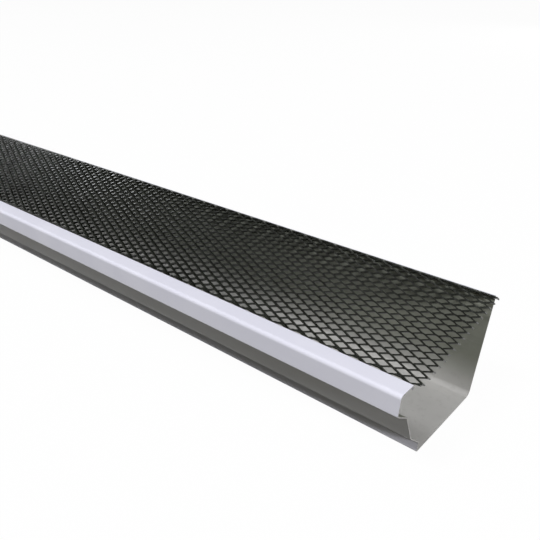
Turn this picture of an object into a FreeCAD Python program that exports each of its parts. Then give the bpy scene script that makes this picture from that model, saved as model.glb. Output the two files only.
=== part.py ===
import FreeCAD, Part
import math
import os

os.makedirs("parts", exist_ok=True)

# Overall sizes in millimetres
LENGTH = 914.4
DEPTH = 127.0
BACK_HEIGHT = 88.0
SHEET = 0.8

# Trough section, outside faces, measured from the face of the fascia band and from the floor
LIP_HEIGHT = 74.0
LIP_WIDTH = 15.2
RETURN_DEPTH = 3.6
FASCIA_HEIGHT = 16.0
SOFFIT_DEPTH = 13.6
SOFFIT_DROP = 9.2
WALL_LEAN = 13.4
WALL_DROP = 26.4
TOE_HEIGHT = 9.0
BOTTOM_WIDTH = 85.0

# Inside radii of the roll-formed bends
RETURN_BEND = 0.4
CREASE_BEND = 2.0
SOFFIT_BEND = 0.8
OGEE_BEND = 3.0
TOE_BEND = 0.8
HEEL_BEND = 4.0

# Expanded metal of the guard
LONG_PITCH = 15.24
SHORT_PITCH = 6.45
BOND_LENGTH = 1.8
STRAND_WIDTH = 3.2
STRAND_TILT = 44.0
STRAND_SHEET = 0.95
BAYS = 6

# Edge strips of the guard, bowed up between their bonds
FRONT_BOW = 1.6
BACK_BOW = 0.7
BOW_LENGTH = 6.0

# Seats of the guard: level below the lip, level above the back wall, length past the trough's ends
FRONT_DROP = 3.0
BACK_RISE = 0.8
OVERHANG = 3.0
SEAT_GAP = 0.02


def point(x, section):
    return FreeCAD.Vector(x, section[0] - DEPTH / 2, section[1])


def add(a, b, scale=1.0):
    return (a[0] + b[0] * scale, a[1] + b[1] * scale)


def unit(a, b):
    run = math.hypot(b[0] - a[0], b[1] - a[1])
    return ((b[0] - a[0]) / run, (b[1] - a[1]) / run)


def left_of(direction):
    return (-direction[1], direction[0])


# One sheet bent along a line of outside corners, its thickness on the left of that line
def bent_sheet(corners, bends, thickness, x):
    outer = []
    inner = []
    first = unit(corners[0], corners[1])
    last = unit(corners[-2], corners[-1])
    outer_from = corners[0]
    inner_from = add(corners[0], left_of(first), thickness)
    for before, corner, after, bend in zip(corners, corners[1:], corners[2:], bends):
        arrive = unit(before, corner)
        leave = unit(corner, after)
        sine = arrive[0] * leave[1] - arrive[1] * leave[0]
        cosine = arrive[0] * leave[0] + arrive[1] * leave[1]
        turn = math.atan2(sine, cosine)
        side = math.copysign(1.0, turn)
        radius = bend + thickness if turn > 0 else bend
        back_off = radius * math.tan(abs(turn) / 2)
        start = add(corner, arrive, -back_off)
        stop = add(corner, leave, back_off)
        centre = add(start, left_of(arrive), side * radius)
        middle_way = unit(centre, corner)
        middle = add(centre, middle_way, radius)
        inner_radius = radius - side * thickness
        inner_start = add(start, left_of(arrive), thickness)
        inner_stop = add(stop, left_of(leave), thickness)
        inner_middle = add(centre, middle_way, inner_radius)
        outer.append(Part.makeLine(point(x, outer_from), point(x, start)))
        outer.append(Part.Arc(point(x, start), point(x, middle), point(x, stop)).toShape())
        inner.append(Part.makeLine(point(x, inner_from), point(x, inner_start)))
        inner.append(Part.Arc(point(x, inner_start), point(x, inner_middle), point(x, inner_stop)).toShape())
        outer_from = stop
        inner_from = inner_stop
    outer_end = corners[-1]
    inner_end = add(corners[-1], left_of(last), thickness)
    outer.append(Part.makeLine(point(x, outer_from), point(x, outer_end)))
    inner.append(Part.makeLine(point(x, inner_from), point(x, inner_end)))
    caps = [
        Part.makeLine(point(x, outer_end), point(x, inner_end)),
        Part.makeLine(point(x, corners[0]), point(x, add(corners[0], left_of(first), thickness))),
    ]
    return Part.Face(Part.Wire(Part.__sortEdges__(outer + inner + caps)))


# Trough, rolled from one strip: lip return, lip, fascia band, soffit, ogee wall, toe, bottom and back
trough_length = LENGTH - 2 * OVERHANG
wall_top = LIP_HEIGHT - FASCIA_HEIGHT - SOFFIT_DROP
toe_face = DEPTH - BOTTOM_WIDTH
section = [
    (LIP_WIDTH, LIP_HEIGHT - RETURN_DEPTH),
    (LIP_WIDTH, LIP_HEIGHT),
    (0.0, LIP_HEIGHT),
    (0.0, LIP_HEIGHT - FASCIA_HEIGHT),
    (SOFFIT_DEPTH, wall_top),
    (SOFFIT_DEPTH + WALL_LEAN, wall_top - WALL_DROP),
    (toe_face, TOE_HEIGHT),
    (toe_face, 0.0),
    (DEPTH, 0.0),
    (DEPTH, BACK_HEIGHT),
]
bends = [RETURN_BEND, CREASE_BEND, SOFFIT_BEND, OGEE_BEND, OGEE_BEND, OGEE_BEND, TOE_BEND, HEEL_BEND]
trough = bent_sheet(section, bends, SHEET, -trough_length / 2)
trough = trough.extrude(FreeCAD.Vector(trough_length, 0, 0))

# Guard plane, from the back of the lip return up to the inside of the back wall
front_seat = (LIP_WIDTH + SEAT_GAP, LIP_HEIGHT - FRONT_DROP)
back_seat = (DEPTH - SHEET - SEAT_GAP, BACK_HEIGHT + BACK_RISE)
along = unit(front_seat, back_seat)
rise = left_of(along)

# Section of a strand, its front edge up and its rear edge down, with the thickness laid on in front
tilt = math.radians(STRAND_TILT)
across = add((0.0, 0.0), along, STRAND_WIDTH * math.cos(tilt))
across = add(across, rise, -STRAND_WIDTH * math.sin(tilt))
lay = add((0.0, 0.0), along, -STRAND_SHEET * math.sin(tilt))
lay = add(lay, rise, -STRAND_SHEET * math.cos(tilt))

# Rows of bonds, with the edge strips just touching the return and the back wall
front = add(front_seat, along, (across[0] - lay[0]) / along[0])
back = add(back_seat, along, -across[0] / along[0])
run = math.hypot(back[0] - front[0], back[1] - front[1])
strands = max(2, round(run / (SHORT_PITCH / 2)))
step = run / strands

# Columns of bonds, fitted to whole bays
bay_length = LENGTH / BAYS
columns = max(2, round(bay_length / LONG_PITCH))
half_pitch = bay_length / columns / 2
FRONT_STRIP = -1
BACK_STRIP = strands


# Front edge of a strand at one half column, the flat length there and the neighbour it is fused to
def crossing(strand, column):
    near = add(front, along, step * strand)
    far = add(add(front, along, step * (strand + 1)), across, -1.0)
    fused_behind = (strand + column) % 2 == 0
    if strand == FRONT_STRIP and not fused_behind:
        return add(far, (0.0, FRONT_BOW)), BOW_LENGTH, None
    if strand == BACK_STRIP and fused_behind:
        return add(near, (0.0, BACK_BOW)), BOW_LENGTH, None
    return (far, BOND_LENGTH, "behind") if fused_behind else (near, BOND_LENGTH, "before")


# One bay of zigzag strands between two edge strips, fused where they meet at the bonds
def expanded_bay(x_from):
    faces = []

    def quad(a, b, c, d):
        faces.append(Part.Face(Part.makePolygon([a, b, c, d, a])))

    for strand in range(FRONT_STRIP, BACK_STRIP + 1):
        rails = []
        fused = []
        for column in range(2 * columns + 1):
            edge, flat, neighbour = crossing(strand, column)
            for x in (column * half_pitch - flat / 2, column * half_pitch + flat / 2):
                x = x_from + min(max(x, 0.0), bay_length)
                rim = [edge, add(edge, across), add(add(edge, across), lay), add(edge, lay)]
                rails.append([point(x, corner) for corner in rim])
            fused += [neighbour, None]
        for a, b, neighbour in zip(rails, rails[1:], fused):
            quad(a[0], b[0], b[1], a[1])
            quad(a[3], a[2], b[2], b[3])
            if neighbour != "before":
                quad(a[0], a[3], b[3], b[0])
            if neighbour != "behind":
                quad(a[1], b[1], b[2], a[2])
        first = rails[0]
        last = rails[-1]
        quad(first[0], first[1], first[2], first[3])
        quad(last[0], last[3], last[2], last[1])
    return Part.Solid(Part.Shell(faces))


trough.exportStep("parts/gutter_trough.step")

first_bay = expanded_bay(-LENGTH / 2)
for bay in range(BAYS):
    deck = first_bay.translated(FreeCAD.Vector(bay * bay_length, 0, 0))
    deck.exportStep("parts/guard_deck_%d.step" % (bay + 1))
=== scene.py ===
import bpy
import math
from mathutils import Euler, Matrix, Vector

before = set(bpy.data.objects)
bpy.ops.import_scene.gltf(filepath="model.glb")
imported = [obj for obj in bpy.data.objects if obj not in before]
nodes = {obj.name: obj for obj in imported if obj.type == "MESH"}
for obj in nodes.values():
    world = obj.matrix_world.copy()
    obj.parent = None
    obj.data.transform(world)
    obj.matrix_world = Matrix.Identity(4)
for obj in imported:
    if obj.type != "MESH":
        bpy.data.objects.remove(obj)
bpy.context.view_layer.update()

# Colours in linear light; a pair is the darker and the lighter end of a variation
WHITE = (1.0, 1.0, 1.0, 1.0)
ENAMEL = ((0.77, 0.765, 0.86, 1.0), (0.805, 0.80, 0.89, 1.0))
WASH_BOTTOM = ((0.52, 0.513, 0.495, 1.0), (0.57, 0.563, 0.543, 1.0))
# Painted shade: the wash high on the inside walls, much darker than the coat, stands in
# for the guard's shadow
WASH_WALLS_PAINTED_SHADE = ((0.232, 0.24, 0.202, 1.0), (0.272, 0.28, 0.238, 1.0))
WASH_MOTTLE = (0.34, 0.335, 0.315, 1.0)
WASH_STREAK = (0.37, 0.365, 0.345, 1.0)
CUT_METAL = ((0.24, 0.235, 0.23, 1.0), (0.34, 0.335, 0.33, 1.0))
BLACK_COAT = ((0.006, 0.007, 0.0048, 1.0), (0.012, 0.0138, 0.0095, 1.0))
FLOOR_PALE = (0.9, 0.9, 0.9, 1.0)
FLOOR_BOUNCE = (0.104, 0.102, 0.07, 1.0)

# Noise scales per metre, and the stretch of the streaks along the rolled strip
STREAK_SCALE = 260.0
CLOUD_SCALE = 22.0
MOTTLE_SCALE = 190.0
GRAIN_SCALE = 900.0
SPECK_SCALE = 1400.0
PATCH_SCALE = 60.0
ROLL_STRETCH = (0.02, 1.0, 1.0)

# A point in the trough's channel, and the height over which painted shade darkens the
# wash up the walls, in metres
CHANNEL_HEART = (0.0, 0.010, 0.045)
WASH_SHADE_HEIGHT = 0.038

# Light of the world, and of the backdrop that stands in front of it
AMBIENT = 0.07
AMBIENT_COLOUR = (1.0, 0.99, 0.96, 1.0)

# Share of the floor that is white by itself; the rest of it takes the shadow
FLOOR_WHITE = 0.97

# Floor and backdrop, in metres
FLOOR_SIZE = 60.0
FLOOR_LEVEL = -0.0005
BACKDROP_RADIUS = 29.0
BACKDROP_HEIGHT = 22.0
BACKDROP_FOOT = -0.01
BACKDROP_SIDES = 96

# Sockets of a colour Mix node
MIX_FACTOR, MIX_A, MIX_B, MIX_RESULT = 0, 6, 7, 2


# Small helpers for node materials
class Shade:
    def __init__(self, name):
        self.material = bpy.data.materials.new(name)
        self.material.use_nodes = True
        self.tree = self.material.node_tree
        self.bsdf = self.tree.nodes["Principled BSDF"]
        self.output = self.tree.nodes["Material Output"]

    def node(self, kind, **settings):
        made = self.tree.nodes.new(kind)
        for key, value in settings.items():
            setattr(made, key, value)
        return made

    def link(self, out, into):
        self.tree.links.new(out, into)

    def feed(self, socket, value):
        if isinstance(value, bpy.types.NodeSocket):
            self.link(value, socket)
        else:
            socket.default_value = value

    def math(self, operation, a, b):
        made = self.node("ShaderNodeMath", operation=operation)
        self.feed(made.inputs[0], a)
        self.feed(made.inputs[1], b)
        return made.outputs[0]

    def vector(self, operation, a, b):
        made = self.node("ShaderNodeVectorMath", operation=operation)
        self.feed(made.inputs[0], a)
        self.feed(made.inputs[1], b)
        return made.outputs["Value" if operation == "DOT_PRODUCT" else "Vector"]

    def noise(self, coordinates, scale, detail, roughness=0.5):
        made = self.node("ShaderNodeTexNoise")
        self.link(coordinates, made.inputs["Vector"])
        made.inputs["Scale"].default_value = scale
        made.inputs["Detail"].default_value = detail
        made.inputs["Roughness"].default_value = roughness
        return made.outputs[0]

    def span(self, value, low, high, to_low=0.0, to_high=1.0):
        made = self.node("ShaderNodeMapRange", interpolation_type="SMOOTHSTEP")
        for socket, given in zip(made.inputs, (value, low, high, to_low, to_high)):
            self.feed(socket, given)
        return made.outputs[0]

    def mix(self, factor, a, b):
        made = self.node("ShaderNodeMix", data_type="RGBA")
        self.feed(made.inputs[MIX_FACTOR], factor)
        self.feed(made.inputs[MIX_A], a)
        self.feed(made.inputs[MIX_B], b)
        return made.outputs[MIX_RESULT]

    def mix_shader(self, factor, a, b):
        made = self.node("ShaderNodeMixShader")
        for socket, given in zip(made.inputs, (factor, a, b)):
            self.feed(socket, given)
        return made.outputs[0]

    def diffuse(self, colour):
        made = self.node("ShaderNodeBsdfDiffuse")
        made.inputs["Color"].default_value = colour
        return made.outputs[0]

    def emission(self, colour, strength):
        made = self.node("ShaderNodeEmission")
        self.feed(made.inputs["Color"], colour)
        self.feed(made.inputs["Strength"], strength)
        return made.outputs[0]

    def bump(self, height, strength, distance):
        made = self.node("ShaderNodeBump")
        self.link(height, made.inputs["Height"])
        made.inputs["Strength"].default_value = strength
        made.inputs["Distance"].default_value = distance
        self.link(made.outputs[0], self.bsdf.inputs["Normal"])

    # In place of the Principled shader
    def surface(self, shader):
        self.tree.nodes.remove(self.bsdf)
        self.link(shader, self.output.inputs["Surface"])


# White enamel outside, pale wash coat inside with painted shade up its walls, bare metal
# on the cut ends
def gutter_sheet():
    s = Shade("gutter_sheet")
    where = s.node("ShaderNodeTexCoord")
    place = where.outputs["Object"]
    facing = where.outputs["Normal"]

    # The inside faces the channel, and the cut ends face along the length
    heart = s.vector("SUBTRACT", CHANNEL_HEART, place)
    across = s.vector("MULTIPLY", heart, (0.0, 1.0, 1.0))
    inside = s.span(s.vector("DOT_PRODUCT", across, facing), -0.0005, 0.0005)
    squared = s.vector("MULTIPLY", facing, facing)
    cut = s.span(s.vector("DOT_PRODUCT", squared, (1.0, 0.0, 0.0)), 0.7, 0.9)

    rolled = s.vector("MULTIPLY", place, ROLL_STRETCH)
    streak = s.noise(rolled, STREAK_SCALE, detail=4.0, roughness=0.6)
    cloud = s.noise(place, CLOUD_SCALE, detail=4.0, roughness=0.55)
    mottle = s.noise(place, MOTTLE_SCALE, detail=3.0, roughness=0.65)
    grain = s.noise(place, GRAIN_SCALE, detail=2.0)

    white = s.mix(s.span(cloud, 0.35, 0.7), *ENAMEL)
    tone = s.span(cloud, 0.3, 0.7)
    # Painted shade: the wash goes from its own pale colour at the bottom to darker up the
    # walls, for the guard's shadow
    level = s.vector("DOT_PRODUCT", place, (0.0, 0.0, 1.0))
    bottom = s.mix(tone, *WASH_BOTTOM)
    walls_painted_shade = s.mix(tone, *WASH_WALLS_PAINTED_SHADE)
    wash_and_shade = s.mix(s.span(level, 0.0, WASH_SHADE_HEIGHT), bottom, walls_painted_shade)
    wash_and_shade = s.mix(s.span(mottle, 0.5, 0.75, to_high=0.22), wash_and_shade, WASH_MOTTLE)
    wash_and_shade = s.mix(s.span(streak, 0.55, 0.8, to_high=0.2), wash_and_shade, WASH_STREAK)
    coat = s.mix(inside, white, wash_and_shade)
    metal = s.mix(s.span(streak, 0.3, 0.7), *CUT_METAL)
    s.link(s.mix(cut, coat, metal), s.bsdf.inputs["Base Color"])

    rough = s.span(streak, 0.2, 0.8, to_low=0.42, to_high=0.54)
    rough = s.math("ADD", rough, s.math("MULTIPLY", inside, 0.16))
    s.link(rough, s.bsdf.inputs["Roughness"])
    s.bsdf.inputs["Specular IOR Level"].default_value = 0.06
    relief = s.math("ADD", s.math("MULTIPLY", streak, 0.6), grain)
    s.bump(relief, strength=0.12, distance=0.0004)
    return s.material


# Black coated steel of the guard
def guard_mesh():
    s = Shade("guard_mesh")
    place = s.node("ShaderNodeTexCoord").outputs["Object"]
    speck = s.noise(place, SPECK_SCALE, detail=2.0)
    patch = s.noise(place, PATCH_SCALE, detail=3.0, roughness=0.6)
    s.link(s.mix(s.span(patch, 0.3, 0.7), *BLACK_COAT), s.bsdf.inputs["Base Color"])
    rough = s.span(patch, 0.25, 0.75, to_low=0.20, to_high=0.36)
    s.link(rough, s.bsdf.inputs["Roughness"])
    s.bsdf.inputs["Specular IOR Level"].default_value = 0.16
    relief = s.math("ADD", speck, s.math("MULTIPLY", patch, 2.0))
    s.bump(relief, strength=0.15, distance=0.0003)
    return s.material


sheet_material = gutter_sheet()
mesh_material = guard_mesh()
for name, piece in nodes.items():
    material = sheet_material if name == "gutter_trough" else mesh_material
    piece.data.materials.clear()
    piece.data.materials.append(material)


# One for rays from the eye, in reflections and through clear things
def seen_ray(s):
    path = s.node("ShaderNodeLightPath")
    seen = s.math("MAXIMUM", path.outputs["Is Camera Ray"], path.outputs["Is Glossy Ray"])
    return s.math("MAXIMUM", seen, path.outputs["Is Transmission Ray"])


# Pale floor: white where it is seen, a dim warm bounce on the part
def floor_material():
    s = Shade("floor")
    white = s.mix_shader(FLOOR_WHITE, s.diffuse(FLOOR_PALE), s.emission(WHITE, 1.0))
    s.surface(s.mix_shader(seen_ray(s), s.diffuse(FLOOR_BOUNCE), white))
    return s.material


# Backdrop round the floor: white where it is seen, otherwise as dim as the world
def backdrop_material():
    s = Shade("backdrop")
    seen = seen_ray(s)
    colour = s.mix(seen, AMBIENT_COLOUR, WHITE)
    s.surface(s.emission(colour, s.span(seen, 0.0, 1.0, to_low=AMBIENT)))
    s.material.cycles.emission_sampling = "NONE"
    return s.material


bpy.ops.mesh.primitive_plane_add(size=FLOOR_SIZE, location=(0.0, 0.0, FLOOR_LEVEL))
floor = bpy.context.object
floor.name = "floor"
floor.data.materials.append(floor_material())
bpy.ops.mesh.primitive_cylinder_add(
    vertices=BACKDROP_SIDES,
    radius=BACKDROP_RADIUS,
    depth=BACKDROP_HEIGHT,
    end_fill_type="NOTHING",
    location=(0.0, 0.0, BACKDROP_FOOT + BACKDROP_HEIGHT / 2),
)
backdrop = bpy.context.object
backdrop.name = "backdrop"
backdrop.data.materials.append(backdrop_material())


# Soft studio light: one area lamp, its size in metres
def lamp(name, place, target, size, watts, colour=(1.0, 1.0, 1.0)):
    data = bpy.data.lights.new(name, "AREA")
    data.shape = "RECTANGLE"
    data.size, data.size_y = size
    data.energy = watts
    data.color = colour
    made = bpy.data.objects.new(name, data)
    made.location = place
    aim = Vector(target) - Vector(place)
    made.rotation_euler = aim.to_track_quat("-Z", "Y").to_euler()
    bpy.context.scene.collection.objects.link(made)


# From the front and above
lamp("key", place=(-0.6, -2.7, 4.0), target=(0.0, 0.0, 0.05),
     size=(1.0, 0.8), watts=138.0, colour=(0.97, 0.98, 1.0))
# Glints from the far left
lamp("rim", place=(-4.3, -0.9, 1.25), target=(-0.3, 0.0, 0.08),
     size=(0.4, 0.4), watts=20.0, colour=(0.95, 0.98, 1.0))
# Into the open near end
lamp("side", place=(5.8, -1.1, 2.2), target=(0.45, 0.0, 0.02),
     size=(1.2, 1.2), watts=370.0, colour=(0.99, 0.99, 1.0))
# For views from behind
lamp("back", place=(0.4, 4.0, 0.42), target=(0.0, 0.06, 0.05),
     size=(0.8, 0.5), watts=85.0)

world = bpy.data.worlds.new("studio")
bpy.context.scene.world = world
world.use_nodes = True
sky = world.node_tree.nodes["Background"]
sky.inputs["Color"].default_value = AMBIENT_COLOUR
sky.inputs["Strength"].default_value = AMBIENT

# Camera at the photograph's viewing angle, framed as the photograph is
camera_data = bpy.data.cameras.new("camera")
camera_data.sensor_fit = "HORIZONTAL"
camera_data.sensor_width = 36.0
camera_data.lens = 37.27
camera_data.shift_y = 0.1854
camera_data.clip_start = 0.01
camera_data.clip_end = 100.0
camera = bpy.data.objects.new("camera", camera_data)
camera.location = (0.55665, -0.30299, 0.27006)
turn = [math.radians(degrees) for degrees in (54.3523, -0.7233, 40.3898)]
camera.rotation_euler = Euler(turn, "XYZ")
bpy.context.scene.collection.objects.link(camera)
bpy.context.scene.camera = camera

bpy.context.scene.view_settings.view_transform = "Standard"
